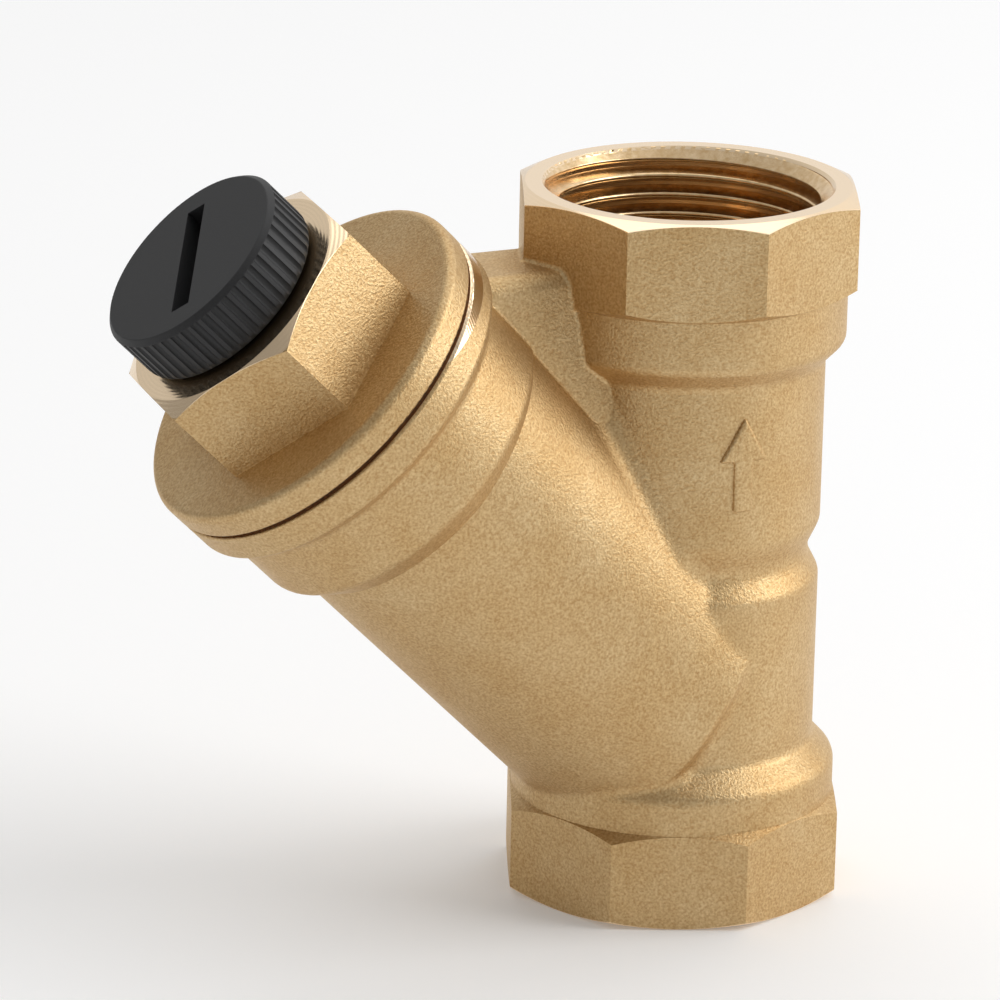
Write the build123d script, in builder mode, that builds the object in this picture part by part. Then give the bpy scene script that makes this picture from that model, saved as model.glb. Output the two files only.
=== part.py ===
from build123d import *
from math import cos, radians
import os

os.makedirs("parts", exist_ok=True)

# Magnetic Y strainer for one-inch pipe, in millimetres.
# The origin is the centre of the inlet end face. The run stands along +Z with the outlet on top,
# and the branch rises at 45 degrees toward -X.

# Run of the body
RUN_LENGTH = 85.0
FLATS_ACROSS = 38.4
FLATS_HEIGHT = 11.6
FLATS_CONE = 1.2
END_FACE_R = 18.9
THREAD_MAJOR_R = 16.62
THREAD_LENGTH = 14.5
MOUTH_CHAMFER = 0.35
DRILL_CONE = 1.6
WATERWAY_R = 13.0
TUBE_R = 16.5
INLET_COLLAR_R = 19.1
INLET_COLLAR_TOP = 16.0
INLET_COLLAR_FOOT = 18.7
OUTLET_COLLAR_R = 18.8
OUTLET_COLLAR_BOTTOM = 67.3
OUTLET_COLLAR_FOOT = 64.9
NECK_BOTTOM_R = 14.85
NECK_LEVEL = 41.8
NECK_LOW = 38.7
NECK_HIGH = 45.3

# Branch of the body, with distances taken along its axis from where it crosses the run axis
BRANCH_ANGLE = 45.0
BRANCH_HEIGHT = 20.0
BARREL_R = 17.9
BARREL_CROWN = 2.4
BARREL_END = 4.9
BARREL_END_TILT = 10.0
BARREL_END_EDGE = 1.2
SHOULDER_R = 20.3
SHOULDER_START = 50.2
FLANGE_R = 22.3
FLANGE_BACK = 60.9
FLANGE_FACE = 64.7
CHAMBER_R = 15.4
COVER_BORE_R = 17.9
COVER_BORE_START = 53.0

# Web in the crotch of the Y, thinner at its top
WEB_TOP = 77.6
WEB_BOTTOM = 50.0
WEB_NEAR = -14.0
WEB_FAR = -29.0
WEB_TOP_THICKNESS = 13.0
WEB_TAPER = 11.0

# Blends of the forging
VALLEY_BLEND = 2.6
NECK_BLENDS = (2.0, 2.8, 3.0)
COLLAR_EDGE = 2.2
COLLAR_BLEND = 1.5
WEB_EDGE = 2.2
WEB_BLEND = 0.6
HIDDEN = 2.5

# Wall between the inlet side and the outlet side, with the seat of the screen
WALL_LOW = 7.0
WALL_HIGH = 10.5
SEAT_R = 12.6
SEAT_LIP_R = 11.2
SEAT_LIP = 0.8

# Screen
SCREEN_R = 12.0
SCREEN_SHEET = 0.5
LINER_SHEET = 0.3
SCREEN_START = 9.0
SCREEN_END = 58.3
RING_SHEET = 0.5
RING_SKIRT = 3.0
HOLE_D = 3.0
HOLES_AROUND = 12
HOLE_ROWS = 9
TOP_RING_R = 13.1

# Cover
GASKET = 0.5
COVER_DISC = 3.3
COVER_EDGE = 1.0
SPIGOT_R = 17.0
SPIGOT_LENGTH = 10.0
SOCKET_R = 13.3
SOCKET_FLOOR = 59.5
HEX_R = 16.4
HEX_TURN = -4.0
HEX_FRONT = 80.0
HEX_FACE_R = 14.3
HEX_CONE = 1.1
PLUG_BORE_R = 8.1
PLUG_BORE_START = 68.6
RING_RECESS_R = 10.4
RING_RECESS = 1.3

# Dry pocket for the magnets
POCKET_R = 6.5
POCKET_WALL = 1.0
POCKET_END = 14.5
POCKET_TOP = 68.6
POCKET_BOTTOM = 1.6

# Magnets on their rod
MAGNETS = 5
MAGNET_R = 4.8
MAGNET_LENGTH = 7.0
POLE_R = 5.0
POLE_LENGTH = 1.5
ROD_R = 1.5
ROD_FIT = 0.1
STACK_START = 20.5
NUT_LENGTH = 2.4
NUT_R = 3.2
ROD_HEAD_R = 2.7
ROD_HEAD_START = 71.8
ROD_HEAD_LENGTH = 2.0
SPACER_R = 3.6

# Plug
PLUG_R = 12.2
PLUG_BACK = 80.2
PLUG_FRONT = 87.5
PLUG_RIM = 0.6
PLUG_BACK_EDGE = 1.4
PLUG_STEM_R = 7.3
PLUG_STEM_START = 70.0
KNURLS = 52
KNURL_R = 0.5
SLOT_LENGTH = 17.0
SLOT_WIDTH = 2.5
SLOT_DEPTH = 2.6
SLOT_TURN = 53.0
PLUG_RING_SECTION = 1.5
PLUG_RING_R = 8.9

# Planes and axes of the branch
BRANCH_ORIGIN = Vector(0, 0, BRANCH_HEIGHT)
BRANCH_DIRECTION = Vector(0, 0, 1).rotate(Axis.Y, -BRANCH_ANGLE)
BRANCH_SIDE = Vector(1, 0, 0).rotate(Axis.Y, -BRANCH_ANGLE)
BRANCH_AXIS = Axis(BRANCH_ORIGIN, BRANCH_DIRECTION)
ACROSS = Plane(BRANCH_ORIGIN, x_dir=BRANCH_SIDE, z_dir=BRANCH_DIRECTION)
ALONG = Plane(BRANCH_ORIGIN, x_dir=BRANCH_SIDE, z_dir=(0, -1, 0))


def closed_outline(points):
    """Face inside straight lines from point to point."""
    with BuildLine() as line:
        Polyline(*points, close=True)
    make_face(line.edges())


def turned_outline(points, radii):
    """Face between the turning axis and an outline with rounded corners."""
    with BuildLine() as line:
        FilletPolyline(*points, radius=radii)
        Line(points[-1], points[0])
    make_face(line.edges())


def branch_disc(radius, start, end):
    """Round solid about the branch axis."""
    with BuildSketch(ACROSS.offset(start)) as section:
        Circle(radius)
    extrude(section.sketch, amount=end - start)


def branch_ring(inner, outer, start, end):
    """Ring about the branch axis."""
    with BuildSketch(ACROSS.offset(start)) as section:
        Circle(outer)
        Circle(inner, mode=Mode.SUBTRACT)
    extrude(section.sketch, amount=end - start)


def branch_hole(radius, start, end):
    """Round hole about the branch axis."""
    with BuildSketch(ACROSS.offset(start)) as section:
        Circle(radius)
    extrude(section.sketch, amount=end - start, mode=Mode.SUBTRACT)


FLATS_CORNER_R = FLATS_ACROSS / 2 / cos(radians(180 / 8))
OUTLET_FLATS = RUN_LENGTH - FLATS_HEIGHT

# Waterway above the seat wall
with BuildPart() as outlet_way:
    with BuildSketch(Plane.XY):
        Circle(WATERWAY_R)
    extrude(amount=RUN_LENGTH)
    split(bisect_by=ACROSS.offset(WALL_HIGH), keep=Keep.TOP)

# Waterway below the seat wall
with BuildPart() as inlet_way:
    with BuildSketch(Plane.XY):
        Circle(WATERWAY_R)
    extrude(amount=RUN_LENGTH)
    split(bisect_by=ACROSS.offset(WALL_LOW), keep=Keep.BOTTOM)

# Barrel of the branch, a little taller than wide, with its end cut at a slant
with BuildPart() as barrel:
    with BuildSketch(ACROSS):
        with Locations((BARREL_CROWN / 2, 0)):
            SlotCenterToCenter(BARREL_CROWN, 2 * BARREL_R)
    extrude(amount=SHOULDER_START + HIDDEN)
    end_normal = BRANCH_DIRECTION.rotate(Axis.Y, -BARREL_END_TILT)
    end_plane = Plane(BRANCH_ORIGIN + BRANCH_DIRECTION * BARREL_END, x_dir=(0, 1, 0), z_dir=end_normal)
    split(bisect_by=end_plane, keep=Keep.TOP)
    fillet(barrel.faces().sort_by(BRANCH_AXIS)[0].edges(), BARREL_END_EDGE)

# Eight flats at each end, turned to a cone at the face and rounded off at the collar
with BuildPart() as flats:
    for start in (0, OUTLET_FLATS):
        with BuildSketch(Plane.XY.offset(start)):
            RegularPolygon(FLATS_CORNER_R, 8)
        extrude(amount=FLATS_HEIGHT)
    face_cone = (FLATS_CORNER_R - END_FACE_R) / 2
    edge_r = FLATS_CORNER_R + 0.2
    with BuildSketch(Plane.XZ):
        closed_outline([(0, 0), (END_FACE_R, 0), (edge_r, face_cone), (edge_r, FLATS_HEIGHT - FLATS_CONE),
                        (INLET_COLLAR_R, FLATS_HEIGHT), (0, FLATS_HEIGHT)])
        closed_outline([(0, OUTLET_FLATS), (OUTLET_COLLAR_R, OUTLET_FLATS),
                        (edge_r, OUTLET_FLATS + FLATS_CONE), (edge_r, RUN_LENGTH - face_cone),
                        (END_FACE_R, RUN_LENGTH), (0, RUN_LENGTH)])
    revolve(axis=Axis.Z, mode=Mode.INTERSECT)

# Web in the crotch of the Y, narrower at its top
with BuildPart() as web:
    with BuildSketch(Plane((0, 0, WEB_TOP), x_dir=(1, 0, 0), z_dir=(0, 0, -1))):
        with Locations(((WEB_NEAR + WEB_FAR) / 2, 0)):
            Rectangle(WEB_NEAR - WEB_FAR, WEB_TOP_THICKNESS)
    extrude(amount=WEB_TOP - WEB_BOTTOM, taper=-WEB_TAPER)
    split(bisect_by=Plane.YZ.offset(WEB_FAR), keep=Keep.TOP)
    split(bisect_by=Plane.YZ.offset(WEB_NEAR + 1), keep=Keep.BOTTOM)
    fillet(web.faces().sort_by(Axis.Z)[-1].edges().filter_by(Axis.X), WEB_EDGE)

# Forged body
with BuildPart() as body:
    # Tube of the run with its neck, blended with the barrel
    tube_bottom = FLATS_HEIGHT - HIDDEN
    tube_top = OUTLET_FLATS + HIDDEN
    with BuildSketch(Plane.XZ):
        turned_outline([(0, tube_bottom), (TUBE_R, tube_bottom), (TUBE_R, NECK_LOW), (NECK_BOTTOM_R, NECK_LEVEL),
                        (TUBE_R, NECK_HIGH), (TUBE_R, tube_top), (0, tube_top)],
                       [0.2, *NECK_BLENDS, 0.2])
    revolve(axis=Axis.Z)
    add(barrel.part)
    fillet(body.edges(Select.NEW), VALLEY_BLEND)
    # Shoulder and flange round the mouth of the branch
    with BuildSketch(ALONG):
        turned_outline([(0, SHOULDER_START - 3), (BARREL_R - 1, SHOULDER_START - 3),
                        (SHOULDER_R, SHOULDER_START + 1.2), (SHOULDER_R, FLANGE_BACK - 1.3),
                        (FLANGE_R, FLANGE_BACK + 0.2), (FLANGE_R, FLANGE_FACE), (0, FLANGE_FACE)],
                       [0.4, 1.6, 1.2, 0.8, 0.3])
    revolve(axis=BRANCH_AXIS)
    # Collar at the inlet
    with BuildSketch(Plane.XZ):
        turned_outline([(0, HIDDEN), (INLET_COLLAR_R, HIDDEN), (INLET_COLLAR_R, INLET_COLLAR_TOP),
                        (TUBE_R - 1, INLET_COLLAR_FOOT + 1), (0, INLET_COLLAR_FOOT + 1)],
                       [0.4, COLLAR_EDGE, 0.2])
    revolve(axis=Axis.Z)
    fillet(body.edges(Select.NEW), COLLAR_BLEND)
    # Collar at the outlet
    with BuildSketch(Plane.XZ):
        turned_outline([(0, OUTLET_COLLAR_FOOT - 1), (TUBE_R - 1, OUTLET_COLLAR_FOOT - 1),
                        (OUTLET_COLLAR_R, OUTLET_COLLAR_BOTTOM), (OUTLET_COLLAR_R, RUN_LENGTH - HIDDEN),
                        (0, RUN_LENGTH - HIDDEN)],
                       [0.2, 1.5, 0.4])
    revolve(axis=Axis.Z)
    fillet(body.edges(Select.NEW), COLLAR_BLEND)
    add(flats.part)
    add(web.part)
    fillet(body.edges(Select.NEW), WEB_BLEND)
    # Threaded ends, drilled at the major diameter
    for face, inward in ((0, 1), (RUN_LENGTH, -1)):
        end = face + inward * THREAD_LENGTH
        with BuildSketch(Plane.XZ):
            closed_outline([(0, face), (THREAD_MAJOR_R + MOUTH_CHAMFER, face),
                            (THREAD_MAJOR_R, face + inward * MOUTH_CHAMFER), (THREAD_MAJOR_R, end),
                            (WATERWAY_R - 1, end + inward * DRILL_CONE), (0, end + inward * DRILL_CONE)])
        revolve(axis=Axis.Z, mode=Mode.SUBTRACT)
    # Waterways and the chamber of the screen
    add(outlet_way.part, mode=Mode.SUBTRACT)
    add(inlet_way.part, mode=Mode.SUBTRACT)
    branch_hole(CHAMBER_R, WALL_HIGH, FLANGE_FACE)
    branch_hole(COVER_BORE_R, COVER_BORE_START, FLANGE_FACE)
    branch_hole(SEAT_R, WALL_LOW + SEAT_LIP, WALL_HIGH)
    branch_hole(SEAT_LIP_R, WALL_LOW, WALL_LOW + SEAT_LIP)
body.part.label = "body"
export_step(body.part, "parts/body.step")

# Ring that seats the screen in the wall
with BuildPart() as lower_ring:
    branch_ring(SEAT_LIP_R, SCREEN_R + RING_SHEET, WALL_LOW + SEAT_LIP, SCREEN_START)
    branch_ring(SCREEN_R, SCREEN_R + RING_SHEET, SCREEN_START, SCREEN_START + RING_SKIRT)
lower_ring.part.label = "screen_lower_ring"
export_step(lower_ring.part, "parts/screen_lower_ring.step")

# Ring that the cover presses on
with BuildPart() as upper_ring:
    branch_ring(SEAT_LIP_R, TOP_RING_R, SCREEN_END, SOCKET_FLOOR)
    branch_ring(SCREEN_R, SCREEN_R + RING_SHEET, SCREEN_END - RING_SKIRT, SCREEN_END)
upper_ring.part.label = "screen_upper_ring"
export_step(upper_ring.part, "parts/screen_upper_ring.step")

# Perforated screen with staggered holes
with BuildPart() as screen:
    branch_ring(SCREEN_R - SCREEN_SHEET, SCREEN_R, SCREEN_START, SCREEN_END)
    row_pitch = (SCREEN_END - SCREEN_START - 2 * RING_SKIRT) / HOLE_ROWS
    first_row = SCREEN_START + RING_SKIRT + row_pitch / 2
    for row in range(HOLE_ROWS):
        stagger = 180 / HOLES_AROUND * (row % 2)
        level = ACROSS.offset(first_row + row * row_pitch)
        for hole in range(HOLES_AROUND // 2):
            turn = stagger + hole * 360 / HOLES_AROUND
            side = BRANCH_SIDE.rotate(BRANCH_AXIS, turn)
            across = Plane(level.origin, x_dir=BRANCH_DIRECTION, z_dir=side)
            with BuildSketch(across.offset(-SCREEN_R - 1)):
                Circle(HOLE_D / 2)
            extrude(amount=2 * SCREEN_R + 2, mode=Mode.SUBTRACT)
screen.part.label = "perforated_screen"
export_step(screen.part, "parts/perforated_screen.step")

# Fine mesh inside the screen
with BuildPart() as liner:
    liner_r = SCREEN_R - SCREEN_SHEET
    branch_ring(liner_r - LINER_SHEET, liner_r, SCREEN_START, SCREEN_END)
liner.part.label = "mesh_liner"
export_step(liner.part, "parts/mesh_liner.step")

# Gasket under the cover
with BuildPart() as gasket:
    branch_ring(COVER_BORE_R + 0.3, FLANGE_R - 0.8, FLANGE_FACE, FLANGE_FACE + GASKET)
gasket.part.label = "cover_gasket"
export_step(gasket.part, "parts/cover_gasket.step")

# Cover with its hexagon
COVER_FACE = FLANGE_FACE + GASKET
DISC_FRONT = COVER_FACE + COVER_DISC
with BuildPart() as cover:
    with BuildSketch(ACROSS.offset(DISC_FRONT - 1)):
        RegularPolygon(HEX_R, 6, rotation=30 + HEX_TURN)
    extrude(amount=HEX_FRONT - DISC_FRONT + 1)
    with BuildSketch(ALONG):
        closed_outline([(0, DISC_FRONT - 1), (HEX_R + 1, DISC_FRONT - 1), (HEX_R + 1, HEX_FRONT - HEX_CONE),
                        (HEX_R, HEX_FRONT - HEX_CONE), (HEX_FACE_R, HEX_FRONT), (0, HEX_FRONT)])
    revolve(axis=BRANCH_AXIS, mode=Mode.INTERSECT)
    with BuildSketch(ALONG):
        turned_outline([(0, DISC_FRONT), (FLANGE_R, DISC_FRONT), (FLANGE_R, COVER_FACE),
                        (SPIGOT_R, COVER_FACE), (SPIGOT_R, COVER_FACE - SPIGOT_LENGTH),
                        (0, COVER_FACE - SPIGOT_LENGTH)],
                       [COVER_EDGE, 0.3, 0.3, 0.5])
    revolve(axis=BRANCH_AXIS)
    branch_hole(SOCKET_R, COVER_FACE - SPIGOT_LENGTH, SOCKET_FLOOR)
    branch_hole(POCKET_R, SOCKET_FLOOR, PLUG_BORE_START)
    branch_hole(PLUG_BORE_R, PLUG_BORE_START, HEX_FRONT)
    branch_hole(RING_RECESS_R, HEX_FRONT - RING_RECESS, HEX_FRONT)
cover.part.label = "cover"
export_step(cover.part, "parts/cover.step")

# Pocket that keeps the magnets dry
with BuildPart() as pocket:
    with BuildSketch(ALONG):
        closed_outline([(0, POCKET_END), (POCKET_R - 1.2, POCKET_END), (POCKET_R, POCKET_END + 1.2),
                        (POCKET_R, POCKET_TOP), (POCKET_R - POCKET_WALL, POCKET_TOP),
                        (POCKET_R - POCKET_WALL, POCKET_END + POCKET_BOTTOM), (0, POCKET_END + POCKET_BOTTOM)])
    revolve(axis=BRANCH_AXIS)
pocket.part.label = "magnet_pocket"
export_step(pocket.part, "parts/magnet_pocket.step")

# Rod through the magnets, with a head that turns in the plug
with BuildPart() as rod:
    branch_disc(ROD_R, STACK_START - NUT_LENGTH - 1, ROD_HEAD_START)
    branch_disc(ROD_HEAD_R, ROD_HEAD_START, ROD_HEAD_START + ROD_HEAD_LENGTH)
rod.part.label = "magnet_rod"
export_step(rod.part, "parts/magnet_rod.step")

# Magnets with a steel pole between each two and at both ends
STACK_STEP = MAGNET_LENGTH + POLE_LENGTH
for number in range(MAGNETS):
    start = STACK_START + POLE_LENGTH + number * STACK_STEP
    with BuildPart() as magnet:
        branch_ring(ROD_R + ROD_FIT, MAGNET_R, start, start + MAGNET_LENGTH)
    magnet.part.label = f"magnet_{number + 1}"
    export_step(magnet.part, f"parts/magnet_{number + 1}.step")
for number in range(MAGNETS + 1):
    start = STACK_START + number * STACK_STEP
    with BuildPart() as pole:
        branch_ring(ROD_R + ROD_FIT, POLE_R, start, start + POLE_LENGTH)
    pole.part.label = f"pole_disc_{number + 1}"
    export_step(pole.part, f"parts/pole_disc_{number + 1}.step")
STACK_END = STACK_START + MAGNETS * STACK_STEP + POLE_LENGTH

# Nut at the foot of the rod
with BuildPart() as nut:
    with BuildSketch(ACROSS.offset(STACK_START - NUT_LENGTH)):
        RegularPolygon(NUT_R, 6)
        Circle(ROD_R, mode=Mode.SUBTRACT)
    extrude(amount=NUT_LENGTH)
nut.part.label = "rod_nut"
export_step(nut.part, "parts/rod_nut.step")

# Spacer between the magnets and the plug
with BuildPart() as spacer:
    branch_ring(ROD_R + ROD_FIT, SPACER_R, STACK_END, PLUG_STEM_START)
spacer.part.label = "rod_spacer"
export_step(spacer.part, "parts/rod_spacer.step")

# Knurled plug with a coin slot
with BuildPart() as plug:
    with BuildSketch(ALONG):
        turned_outline([(0, PLUG_FRONT), (PLUG_R - 0.6, PLUG_FRONT), (PLUG_R, PLUG_FRONT - PLUG_RIM),
                        (PLUG_R, PLUG_BACK), (PLUG_STEM_R, PLUG_BACK), (PLUG_STEM_R, PLUG_STEM_START),
                        (0, PLUG_STEM_START)],
                       [0.2, 0.2, PLUG_BACK_EDGE, 0.3, 0.4])
    revolve(axis=BRANCH_AXIS)
    with BuildSketch(ACROSS.offset(PLUG_BACK)):
        with PolarLocations(PLUG_R + 0.1, KNURLS):
            Circle(KNURL_R)
    extrude(amount=PLUG_FRONT - PLUG_RIM - PLUG_BACK, mode=Mode.SUBTRACT)
    with BuildSketch(ACROSS.offset(PLUG_FRONT - SLOT_DEPTH)):
        Rectangle(SLOT_LENGTH, SLOT_WIDTH, rotation=SLOT_TURN)
    extrude(amount=SLOT_DEPTH, mode=Mode.SUBTRACT)
    branch_hole(ROD_R + ROD_FIT, PLUG_STEM_START, ROD_HEAD_START)
    branch_hole(ROD_HEAD_R + ROD_FIT, ROD_HEAD_START - ROD_FIT, ROD_HEAD_START + ROD_HEAD_LENGTH + ROD_FIT)
plug.part.label = "plug"
export_step(plug.part, "parts/plug.step")

# Ring seal under the head of the plug
with BuildPart() as plug_ring:
    with BuildSketch(ALONG):
        with Locations((PLUG_RING_R, PLUG_BACK - PLUG_RING_SECTION / 2)):
            Circle(PLUG_RING_SECTION / 2)
    revolve(axis=BRANCH_AXIS)
plug_ring.part.label = "plug_seal_ring"
export_step(plug_ring.part, "parts/plug_seal_ring.step")
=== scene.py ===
import math

import bpy
from mathutils import Matrix, Vector


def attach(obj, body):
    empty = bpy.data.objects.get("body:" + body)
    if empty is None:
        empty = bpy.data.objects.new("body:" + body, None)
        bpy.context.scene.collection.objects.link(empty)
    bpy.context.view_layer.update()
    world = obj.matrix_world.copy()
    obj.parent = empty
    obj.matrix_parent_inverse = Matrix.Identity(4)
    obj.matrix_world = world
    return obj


MM = 0.001

# Camera, with the point that the middle of the picture looks at
CAMERA_AZIMUTH = math.radians(-24.45)
CAMERA_ELEVATION = math.radians(17.72)
CAMERA_ROLL = math.radians(1.18)
CAMERA_DISTANCE = 0.71349
PICTURE_CENTRE = (-0.01871, 0.00965, 0.04575)
LENS_PER_PICTURE = 6.0769
SENSOR = 36.0

# Places on the strainer, in millimetres
RUN_LENGTH = 85.0
TUBE_R = 16.5
BRANCH_FOOT = (0.0, 0.0, 20.0)
BRANCH_DIRECTION = (-math.sqrt(0.5), 0.0, math.sqrt(0.5))
BRANCH_TURN = math.radians(-45)
MOUTH_R = 16.97

# Pipe thread of one inch, and the finer threads of cover and plug, in millimetres:
# name, wall, crest, pitch, first and last middle of the tooth, turn in degrees
PIPE_THREAD = (16.62, 15.15, 2.309, 72.2, 84.6, 20)
BRANCH_THREADS = (
    ("branch_thread", 17.9, 17.15, 1.5, 54.4, 63.9, 0, "valve_body", "blasted_brass"),
    ("spigot_thread", 17.0, 17.75, 1.5, 56.1, 64.3, 180, "cover", "cover_brass"),
    ("plug_bore_thread", 8.1, 7.5, 1.5, 69.5, 77.7, 0, "cover", "cover_brass"),
    ("plug_thread", 7.3, 7.9, 1.5, 71.0, 78.6, 180, "plug", "black_plastic"),
)
PIPE_STEPS = 96
BRANCH_STEPS = 72

# Flow arrow, in millimetres, with its place round the tube
ARROW_STEM = 2.4
ARROW_STEM_LENGTH = 6.0
ARROW_HEAD = 6.0
ARROW_HEAD_LENGTH = 5.3
ARROW_HEIGHT = 0.42
ARROW_EDGE = 0.4
ARROW_FOOT = 50.1
ARROW_TURN = math.radians(-0.3)

# Brass: colours of blasted and turned skin, and sizes of grit, clouds and tool rings in millimetres
BRASS_DARK = "#C2A274"
BRASS_LIGHT = "#E2CBA0"
BRASS_CLOUD = "#EEDFC6"
BRASS_TURNED = "#F6DCB8"
GRIT_SIZE = 0.3
GRIT_DEPTH = 0.09
CLOUD_SIZE = 8.0
RING_PITCH = 0.45
RING_DEPTH = 0.003

# One side of a thread's tooth: share of the pitch from its middle, and share of its height
HALF_TOOTH = ((0.05, 1.0), (0.1, 0.95), (0.15, 0.82), (0.33, 0.24), (0.385, 0.09), (0.43, -0.06))
TOOTH_SINK = 0.3
FACE_GAP = 0.05

# Wire cloth of the liner, in millimetres
LINER_R = 11.3
WIRE_PITCH = 0.5

# Studio, in metres and watts
FLOOR_SIZE = 6.0
FLOOR_LIFT = 0.12
SKY_LIGHT_SIDE = (0.6, 0.45, 0.5)
SKY_LEVELS = ((0.0, 0.34), (0.5, 0.72), (0.95, 0.95))
SKY_STRENGTH = 1.0
LAMPS = (
    ("key", (1.0, -0.5, 0.7), 0.9, 8.5),
    ("top", (0.2, 0.4, 1.2), 0.9, 2.0),
)


def linear(code):
    """Linear colour of an sRGB hex value."""
    parts = [int(code[i:i + 2], 16) / 255 for i in (1, 3, 5)]
    return tuple(((p + 0.055) / 1.055) ** 2.4 if p > 0.04045 else p / 12.92 for p in parts) + (1.0,)


def camera_frame():
    """Directions to the right, up and back of the camera."""
    flat = math.cos(CAMERA_ELEVATION)
    back = Vector((math.sin(CAMERA_AZIMUTH) * flat, -math.cos(CAMERA_AZIMUTH) * flat, math.sin(CAMERA_ELEVATION)))
    right = Vector((math.cos(CAMERA_AZIMUTH), math.sin(CAMERA_AZIMUTH), 0))
    up = back.cross(right)
    turn = Matrix.Rotation(CAMERA_ROLL, 3, back)
    return turn @ right, turn @ up, back


def add_camera():
    """Camera at the photograph's viewing angle."""
    right, up, back = camera_frame()
    bpy.ops.object.camera_add(location=Vector(PICTURE_CENTRE) + CAMERA_DISTANCE * back)
    camera = bpy.context.object
    camera.rotation_euler = Matrix((right, up, back)).transposed().to_euler()
    camera.data.sensor_width = SENSOR
    camera.data.lens = LENS_PER_PICTURE * SENSOR
    camera.data.clip_start = 0.01
    bpy.context.scene.camera = camera


def add_node(tree, kind, settings, inputs):
    """A node with its settings, and its inputs as values or links."""
    made = tree.nodes.new(kind)
    for name, value in settings.items():
        setattr(made, name, value)
    for key, value in inputs.items():
        if isinstance(value, bpy.types.NodeSocket):
            tree.links.new(value, made.inputs[key])
        else:
            made.inputs[key].default_value = value
    return made


def new_material(name):
    """Empty material with its shader and its place in millimetres."""
    material = bpy.data.materials.new(name)
    material.use_nodes = True
    tree = material.node_tree
    shader = tree.nodes["Principled BSDF"]
    place = add_node(tree, "ShaderNodeTexCoord", {}, {})
    scaled = add_node(tree, "ShaderNodeVectorMath", {"operation": "SCALE"}, {0: place.outputs["Object"], "Scale": 1 / MM})
    return material, tree, shader, scaled.outputs["Vector"]


def from_branch(tree, place):
    """Distance along the branch, and distance from its axis, in millimetres."""
    start = add_node(tree, "ShaderNodeVectorMath", {"operation": "SUBTRACT"}, {0: place, 1: BRANCH_FOOT})
    along = add_node(tree, "ShaderNodeVectorMath", {"operation": "DOT_PRODUCT"}, {0: start.outputs[0], 1: BRANCH_DIRECTION})
    side = add_node(tree, "ShaderNodeVectorMath", {"operation": "CROSS_PRODUCT"}, {0: start.outputs[0], 1: BRANCH_DIRECTION})
    away = add_node(tree, "ShaderNodeVectorMath", {"operation": "LENGTH"}, {0: side.outputs[0]})
    return along.outputs["Value"], away.outputs["Value"]


def step(tree, operation, first, second=0.0):
    """Result of one sum or comparison."""
    return add_node(tree, "ShaderNodeMath", {"operation": operation}, {0: first, 1: second}).outputs[0]


def from_run(tree, place):
    """Height along the run, and distance from its axis, in millimetres."""
    flat = add_node(tree, "ShaderNodeVectorMath", {"operation": "MULTIPLY"}, {0: place, 1: (1, 1, 0)})
    away = add_node(tree, "ShaderNodeVectorMath", {"operation": "LENGTH"}, {0: flat.outputs[0]})
    height = add_node(tree, "ShaderNodeSeparateXYZ", {}, {0: place})
    return height.outputs["Z"], away.outputs["Value"]


def body_zone(tree, place):
    """1 where the body is turned: end faces with their cones, thread bores and the mouth of the branch."""
    height, away = from_run(tree, place)
    ends = step(tree, "ABSOLUTE", step(tree, "SUBTRACT", height, RUN_LENGTH / 2))
    cone = step(tree, "GREATER_THAN", step(tree, "ADD", ends, step(tree, "MULTIPLY", away, 0.5)), 51.92)
    end_face = step(tree, "GREATER_THAN", ends, 42.44)
    bore = step(tree, "MULTIPLY", step(tree, "LESS_THAN", away, 17.1), step(tree, "GREATER_THAN", ends, 27.0))
    along, off_axis = from_branch(tree, place)
    mouth = step(tree, "MULTIPLY", step(tree, "LESS_THAN", off_axis, 18.4), step(tree, "GREATER_THAN", along, 52.4))
    seat = step(tree, "GREATER_THAN", along, 64.69)
    zone = cone
    for other in (end_face, bore, mouth, seat):
        zone = step(tree, "MAXIMUM", zone, other)
    return zone


def cover_zone(tree, place):
    """1 where the cover is turned: the front of the hexagon with its cone, the spigot and the bores."""
    along, away = from_branch(tree, place)
    zone = step(tree, "GREATER_THAN", step(tree, "ADD", along, step(tree, "MULTIPLY", away, 0.478)), 86.75)
    for other in (step(tree, "LESS_THAN", along, 65.21), step(tree, "LESS_THAN", away, 10.6),
                  step(tree, "GREATER_THAN", along, 79.94)):
        zone = step(tree, "MAXIMUM", zone, other)
    return zone


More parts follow.
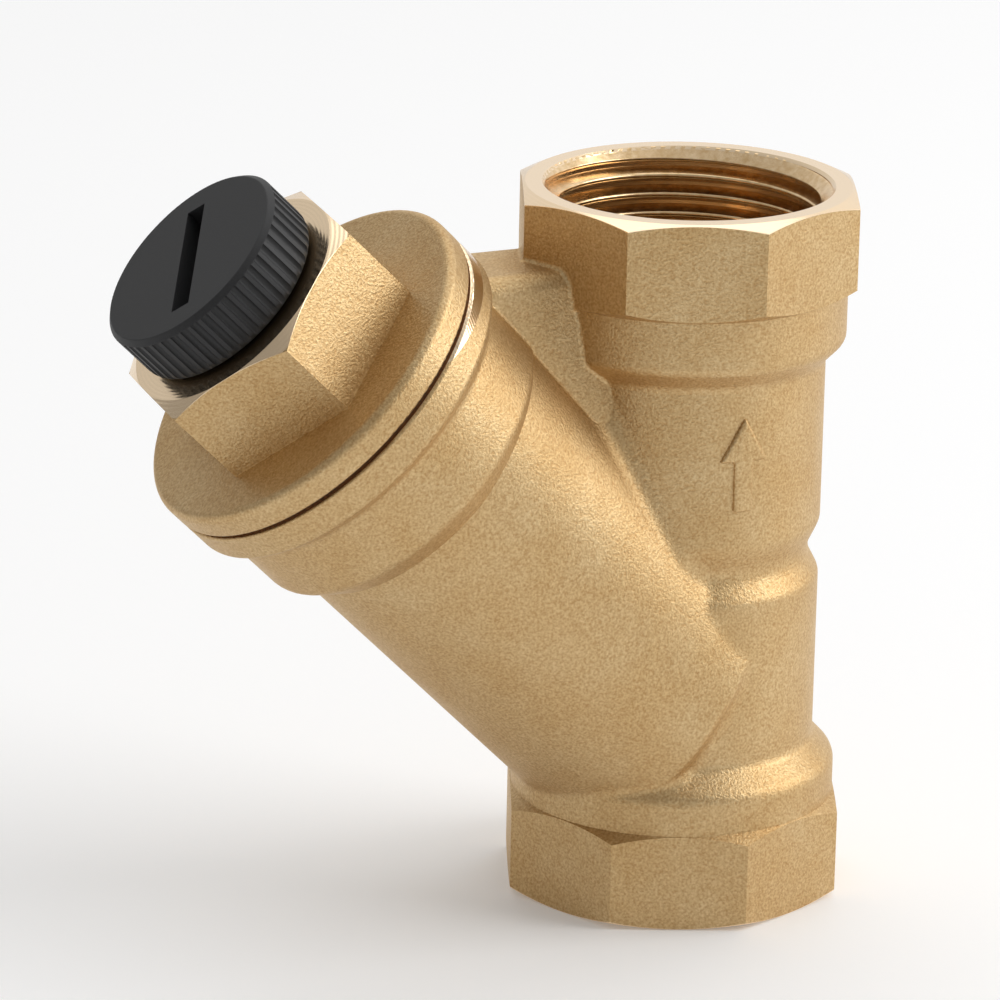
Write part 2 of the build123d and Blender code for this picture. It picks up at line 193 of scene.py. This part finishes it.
def brass(name, zone, from_axis):
    """Brass, forged and blasted with fine grit, with some zones turned on a lathe.

    The grit leaves dull dimples that break every reflection up. The tool leaves fine rings in a paler, glossier skin.
    """
    material, tree, shader, place = new_material(name)
    turned = zone(tree, place)
    grit = add_node(tree, "ShaderNodeTexNoise", {},
                    {"Vector": place, "Scale": 1 / GRIT_SIZE, "Detail": 2.0, "Roughness": 0.55})
    cloud = add_node(tree, "ShaderNodeTexNoise", {}, {"Vector": place, "Scale": 1 / CLOUD_SIZE, "Detail": 3.0})
    grain = add_node(tree, "ShaderNodeValToRGB", {}, {"Fac": grit.outputs["Fac"]})
    for stop, position, colour in zip(grain.color_ramp.elements, (0.3, 0.7), (BRASS_DARK, BRASS_LIGHT)):
        stop.position, stop.color = position, linear(colour)
    clouded = add_node(tree, "ShaderNodeMix", {"data_type": "RGBA", "blend_type": "MULTIPLY"},
                       {0: cloud.outputs["Fac"], 6: grain.outputs["Color"], 7: linear(BRASS_CLOUD)})
    colour = add_node(tree, "ShaderNodeMix", {"data_type": "RGBA"},
                      {0: turned, 6: clouded.outputs[2], 7: linear(BRASS_TURNED)})
    dull = add_node(tree, "ShaderNodeMapRange", {}, {"Value": cloud.outputs["Fac"], "To Min": 0.44, "To Max": 0.56})
    rough = add_node(tree, "ShaderNodeMix", {}, {0: turned, 2: dull.outputs[0], 3: 0.2})
    rings = step(tree, "SINE", step(tree, "MULTIPLY", from_axis(tree, place)[1], 2 * math.pi / RING_PITCH))
    relief = add_node(tree, "ShaderNodeMix", {}, {0: turned, 2: step(tree, "MULTIPLY", grit.outputs["Fac"], GRIT_DEPTH),
                                                  3: step(tree, "MULTIPLY", rings, RING_DEPTH)})
    bump = add_node(tree, "ShaderNodeBump", {}, {"Height": relief.outputs[0], "Distance": MM, "Strength": 1.0})
    shader.inputs["Metallic"].default_value = 1.0
    for socket, value in (("Base Color", colour.outputs[2]), ("Roughness", rough.outputs[0]),
                          ("Normal", bump.outputs["Normal"])):
        tree.links.new(value, shader.inputs[socket])
    return material


def grained(name, dark, light, metallic, rough, size, depth, stretch=(1, 1, 1)):
    """A finish of one substance: a grain of two shades, its own dullness, and dimples as fine as the grain."""
    material, tree, shader, place = new_material(name)
    drawn = add_node(tree, "ShaderNodeMapping", {}, {"Vector": place, "Scale": stretch})
    grain = add_node(tree, "ShaderNodeTexNoise", {},
                     {"Vector": drawn.outputs[0], "Scale": 1 / size, "Detail": 3.0, "Roughness": 0.6})
    shades = add_node(tree, "ShaderNodeValToRGB", {}, {"Fac": grain.outputs["Fac"]})
    for stop, position, colour in zip(shades.color_ramp.elements, (0.3, 0.7), (dark, light)):
        stop.position, stop.color = position, linear(colour)
    dull = add_node(tree, "ShaderNodeMapRange", {},
                    {"Value": grain.outputs["Fac"], "To Min": rough - 0.07, "To Max": rough + 0.07})
    relief = step(tree, "MULTIPLY", grain.outputs["Fac"], depth)
    bump = add_node(tree, "ShaderNodeBump", {}, {"Height": relief, "Distance": MM, "Strength": 1.0})
    shader.inputs["Metallic"].default_value = metallic
    for socket, value in (("Base Color", shades.outputs["Color"]), ("Roughness", dull.outputs[0]),
                          ("Normal", bump.outputs["Normal"])):
        tree.links.new(value, shader.inputs[socket])
    return material


def woven_mesh(name):
    """Plain weave of stainless wire, 0.5 mm from wire to wire, with a painted glint on each wire and painted shade
    between them.
    """
    material, tree, shader, place = new_material(name)
    along, away = from_branch(tree, place)
    start = add_node(tree, "ShaderNodeVectorMath", {"operation": "SUBTRACT"}, {0: place, 1: BRANCH_FOOT})
    side = add_node(tree, "ShaderNodeVectorMath", {"operation": "DOT_PRODUCT"},
                    {0: start.outputs[0], 1: (math.sqrt(0.5), 0, math.sqrt(0.5))})
    front = add_node(tree, "ShaderNodeSeparateXYZ", {}, {0: place})
    round_it = step(tree, "MULTIPLY", step(tree, "ARCTAN2", front.outputs["Y"], side.outputs["Value"]), LINER_R)
    warp = step(tree, "SINE", step(tree, "MULTIPLY", along, 2 * math.pi / WIRE_PITCH))
    weft = step(tree, "SINE", step(tree, "MULTIPLY", round_it, 2 * math.pi / WIRE_PITCH))
    wires = step(tree, "MAXIMUM", warp, weft)
    # The ramp paints light and shade: pale grey on the wire crests is the wire's own colour with a painted glint,
    # fading to painted dark shade between the wires.
    shades = add_node(tree, "ShaderNodeValToRGB", {}, {"Fac": wires})
    for stop, position, colour in zip(shades.color_ramp.elements, (0.1, 0.7), ("#3A3A3A", "#BDBDBA")):
        stop.position, stop.color = position, linear(colour)
    relief = step(tree, "MULTIPLY", wires, 0.08)
    bump = add_node(tree, "ShaderNodeBump", {}, {"Height": relief, "Distance": MM, "Strength": 1.0})
    shader.inputs["Metallic"].default_value = 1.0
    shader.inputs["Roughness"].default_value = 0.35
    tree.links.new(shades.outputs["Color"], shader.inputs["Base Color"])
    tree.links.new(bump.outputs["Normal"], shader.inputs["Normal"])
    return material


def apply_place(piece):
    """Puts a piece's place, turn and scale into its mesh."""
    bpy.ops.object.transform_apply(location=True, rotation=True, scale=True)


def select_where(piece, wanted):
    """In edit mode, selects the vertices whose place is wanted, and the edges and faces between them."""
    bpy.ops.mesh.select_mode(type="VERT")
    bpy.ops.mesh.select_all(action="DESELECT")
    bpy.ops.object.mode_set(mode="OBJECT")
    for vertex in piece.data.vertices:
        vertex.select = wanted(vertex)
    bpy.ops.object.mode_set(mode="EDIT")
    bpy.ops.mesh.select_mode(type="VERT")


def wind_thread(name, wall, crest, pitch, low, high, quarter, steps):
    """Right-hand thread about the Z axis: a rounded tooth wound up a wall, which fades into it at both ends."""
    depth = crest - wall
    sink = math.copysign(TOOTH_SINK, -depth)
    half = [(pitch * share, wall + depth * height) for share, height in HALF_TOOTH]
    outline = [(-a, r) for a, r in reversed(half)] + half
    outline += [(half[-1][0], wall + sink), (-half[-1][0], wall + sink)]
    size = len(outline)
    count = round((high - low) / pitch * steps)
    bpy.ops.mesh.primitive_circle_add(vertices=size, radius=wall * MM, fill_type="NOTHING")
    piece = bpy.context.object
    piece.name = name
    for vertex, (a, r) in zip(piece.data.vertices, outline):
        vertex.co = (r * MM, 0, (low + a) * MM)
    winding = piece.modifiers.new("winding", "SCREW")
    winding.axis = "Z"
    winding.angle = 2 * math.pi * count / steps
    winding.screw_offset = pitch * count / steps * MM
    winding.steps = winding.render_steps = count
    winding.iterations = 1
    winding.use_merge_vertices = False
    bpy.ops.object.modifier_apply(modifier=winding.name)
    last = len(piece.data.vertices) // size - 1
    sunk = (wall + sink / 2) * MM
    for vertex in piece.data.vertices:
        ring = vertex.index // size
        fade = min(1.0, 4 * ring / steps, 4 * (last - ring) / steps)
        radius = math.hypot(vertex.co.x, vertex.co.y)
        wanted = sunk + (radius - sunk) * (0.1 + 0.9 * math.sin(fade * math.pi / 2))
        vertex.co.x *= wanted / radius
        vertex.co.y *= wanted / radius
    bpy.ops.object.mode_set(mode="EDIT")
    for end in (0, last):
        select_where(piece, lambda vertex: vertex.index // size == end)
        bpy.ops.mesh.edge_face_add()
    bpy.ops.mesh.select_all(action="SELECT")
    bpy.ops.mesh.normals_make_consistent(inside=False)
    bpy.ops.object.mode_set(mode="OBJECT")
    piece.rotation_euler = (0, 0, math.radians(quarter))
    apply_place(piece)
    bpy.ops.object.shade_smooth_by_angle(angle=math.radians(40))
    return piece


def countersink(piece):
    """Cuts the first turn of a pipe thread back to the cone of the mouth."""
    face = RUN_LENGTH - FACE_GAP
    for vertex in piece.data.vertices:
        vertex.co.z = min(vertex.co.z, face * MM)
        least = MOUTH_R * MM - (RUN_LENGTH * MM - vertex.co.z)
        radius = math.hypot(vertex.co.x, vertex.co.y)
        if radius < least:
            vertex.co.x *= least / radius
            vertex.co.y *= least / radius


def flow_arrow():
    """Raised arrow on the front of the run, with the soft edges of a forging."""
    bpy.ops.mesh.primitive_circle_add(vertices=3, radius=1, fill_type="NGON")
    piece = bpy.context.object
    piece.name = "flow_arrow"
    for vertex, corner in zip(piece.data.vertices, ((0, ARROW_HEAD_LENGTH), (-0.5, 0), (0.5, 0))):
        vertex.co = (corner[0] * ARROW_HEAD, corner[1], 0)
    bpy.ops.object.mode_set(mode="EDIT")
    for side in (-0.5, 0.5):
        bpy.ops.mesh.select_all(action="SELECT")
        bpy.ops.mesh.bisect(plane_co=(side * ARROW_STEM, 0, 0), plane_no=(1, 0, 0))
    select_where(piece, lambda vertex: vertex.co.y < 0.01 and abs(vertex.co.x) < 0.6 * ARROW_STEM)
    bpy.ops.mesh.extrude_region_move(TRANSFORM_OT_translate={"value": (0, -ARROW_STEM_LENGTH, 0)})
    bpy.ops.object.mode_set(mode="OBJECT")
    thick = piece.modifiers.new("thick", "SOLIDIFY")
    thick.thickness = 2 * ARROW_HEIGHT
    thick.offset = 0
    soft = piece.modifiers.new("soft", "BEVEL")
    soft.width = ARROW_EDGE
    soft.segments = 4
    soft.limit_method = "ANGLE"
    for modifier in (thick.name, soft.name):
        bpy.ops.object.modifier_apply(modifier=modifier)
    bpy.ops.object.mode_set(mode="EDIT")
    for cut in range(-5, 6):
        bpy.ops.mesh.select_all(action="SELECT")
        bpy.ops.mesh.bisect(plane_co=(cut * ARROW_HEAD / 12, 0, 0), plane_no=(1, 0, 0))
    bpy.ops.mesh.select_all(action="SELECT")
    bpy.ops.mesh.normals_make_consistent(inside=False)
    bpy.ops.object.mode_set(mode="OBJECT")
    for vertex in piece.data.vertices:
        x, y, height = vertex.co
        turn = ARROW_TURN + x / TUBE_R
        radius = TUBE_R + height
        vertex.co = (radius * math.sin(turn) * MM, -radius * math.cos(turn) * MM,
                     (ARROW_FOOT + ARROW_STEM_LENGTH + y) * MM)
    bpy.ops.object.shade_smooth_by_angle(angle=math.radians(50))
    return piece


def finish(piece, material, body):
    """Gives a piece its material and body."""
    piece.data.materials.clear()
    piece.data.materials.append(material)
    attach(piece, body)
    bpy.ops.object.select_all(action="DESELECT")


def add_studio():
    """Pale floor, a sky that is light on the right and dim on the left, and two large soft lamps."""
    bpy.ops.mesh.primitive_plane_add(size=FLOOR_SIZE)
    floor = bpy.context.object
    floor.name = "floor"
    material, tree, shader, place = new_material("white paper sweep")
    shader.inputs["Base Color"].default_value = linear("#F4F4F4")
    shader.inputs["Roughness"].default_value = 0.8
    shader.inputs["Emission Color"].default_value = (1, 1, 1, 1)
    ray = add_node(tree, "ShaderNodeLightPath", {}, {})
    seen = step(tree, "MAXIMUM", step(tree, "MAXIMUM", ray.outputs["Is Camera Ray"], ray.outputs["Is Glossy Ray"]),
                ray.outputs["Is Transmission Ray"])
    tree.links.new(step(tree, "MULTIPLY", seen, FLOOR_LIFT), shader.inputs["Emission Strength"])
    floor.data.materials.append(material)

    world = bpy.data.worlds.new("studio")
    bpy.context.scene.world = world
    world.use_nodes = True
    tree = world.node_tree
    sky = add_node(tree, "ShaderNodeTexCoord", {}, {})
    facing = add_node(tree, "ShaderNodeVectorMath", {"operation": "DOT_PRODUCT"},
                      {0: sky.outputs["Generated"], 1: Vector(SKY_LIGHT_SIDE).normalized()})
    ramp = add_node(tree, "ShaderNodeValToRGB", {}, {"Fac": step(tree, "ADD", facing.outputs["Value"], 0.0)})
    first, last = ramp.color_ramp.elements
    middle = ramp.color_ramp.elements.new(0.5)
    for stop, (position, level) in zip((first, middle, last), SKY_LEVELS):
        stop.position, stop.color = position, (level, level, level, 1)
    tree.links.new(ramp.outputs["Color"], tree.nodes["Background"].inputs["Color"])
    tree.nodes["Background"].inputs["Strength"].default_value = SKY_STRENGTH

    for name, place, size, power in LAMPS:
        bpy.ops.object.light_add(type="AREA", location=place)
        lamp = bpy.context.object
        lamp.name = name
        lamp.data.size = size
        lamp.data.energy = power
        aim = Vector(place) - Vector(PICTURE_CENTRE)
        lamp.rotation_euler = aim.to_track_quat("Z", "Y").to_euler()


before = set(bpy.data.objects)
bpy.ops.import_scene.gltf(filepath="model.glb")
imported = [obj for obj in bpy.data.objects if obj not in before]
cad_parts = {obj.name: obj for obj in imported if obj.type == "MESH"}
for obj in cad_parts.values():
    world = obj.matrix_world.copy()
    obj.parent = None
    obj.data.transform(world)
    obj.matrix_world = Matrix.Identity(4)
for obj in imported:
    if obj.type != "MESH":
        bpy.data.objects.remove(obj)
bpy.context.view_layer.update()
bpy.ops.object.select_all(action="DESELECT")
add_camera()
add_studio()

body_brass = brass("forged brass, blasted with grit", body_zone, from_run)
cover_brass = brass("forged brass, blasted, with a turned front", cover_zone, from_branch)
cut_brass = grained("brass, cut with a tap", "#DDBA88", "#F3D6AC", 1.0, 0.22, 0.9, 0.004)
bar_brass = grained("brass bar, turned", "#D9B87A", "#F0D59C", 1.0, 0.25, 0.6, 0.004)
fibre = grained("pressed aramid fibre", "#3A2412", "#6B4522", 0.0, 0.8, 0.3, 0.05)
rolled_steel = grained("stainless sheet, rolled", "#A3A29E", "#C9C8C4", 1.0, 0.32, 0.8, 0.006)
wire_cloth = woven_mesh("stainless wire cloth")
zinc_steel = grained("steel, zinc plated", "#9DA1A6", "#C4C8CC", 1.0, 0.3, 0.5, 0.004)
nickel = grained("magnet, nickel plated", "#B9B2A6", "#D8D2C6", 1.0, 0.14, 1.2, 0.002)
oiled_steel = grained("steel disc, turned and oiled", "#5E5F61", "#87888A", 1.0, 0.3, 0.4, 0.006)
plastic = grained("glass-filled nylon, moulded", "#1A1A1B", "#262627", 0.0, 0.55, 0.22, 0.02)
rubber = grained("nitrile rubber, moulded", "#0E0E0E", "#181818", 0.0, 0.6, 0.4, 0.01)

CAD_FINISH = {
    "body": body_brass, "cover": cover_brass, "cover_gasket": fibre, "plug": plastic, "plug_seal_ring": rubber,
    "perforated_screen": rolled_steel, "screen_lower_ring": rolled_steel, "screen_upper_ring": rolled_steel,
    "mesh_liner": wire_cloth, "magnet_pocket": bar_brass, "rod_spacer": bar_brass, "magnet_rod": zinc_steel,
    "rod_nut": zinc_steel,
}
for name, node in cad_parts.items():
    material = CAD_FINISH.get(name) or (nickel if name.startswith("magnet") else oiled_steel)
    node.data.materials.clear()
    node.data.materials.append(material)

outlet_thread = wind_thread("outlet_thread", *PIPE_THREAD, PIPE_STEPS)
countersink(outlet_thread)
finish(outlet_thread, cut_brass, "valve_body")
inlet_thread = wind_thread("inlet_thread", *PIPE_THREAD, PIPE_STEPS)
countersink(inlet_thread)
inlet_thread.rotation_euler = (math.pi, 0, 0)
inlet_thread.location = (0, 0, RUN_LENGTH * MM)
apply_place(inlet_thread)
finish(inlet_thread, cut_brass, "valve_body")
for name, wall, crest, pitch, low, high, quarter, body, slot in BRANCH_THREADS:
    thread = wind_thread(name, wall, crest, pitch, low, high, quarter, BRANCH_STEPS)
    thread.rotation_euler = (0, BRANCH_TURN, 0)
    thread.location = Vector(BRANCH_FOOT) * MM
    apply_place(thread)
    finish(thread, plastic if slot == "black_plastic" else cut_brass, body)
finish(flow_arrow(), body_brass, "valve_body")

bpy.context.scene.view_settings.view_transform = "Standard"
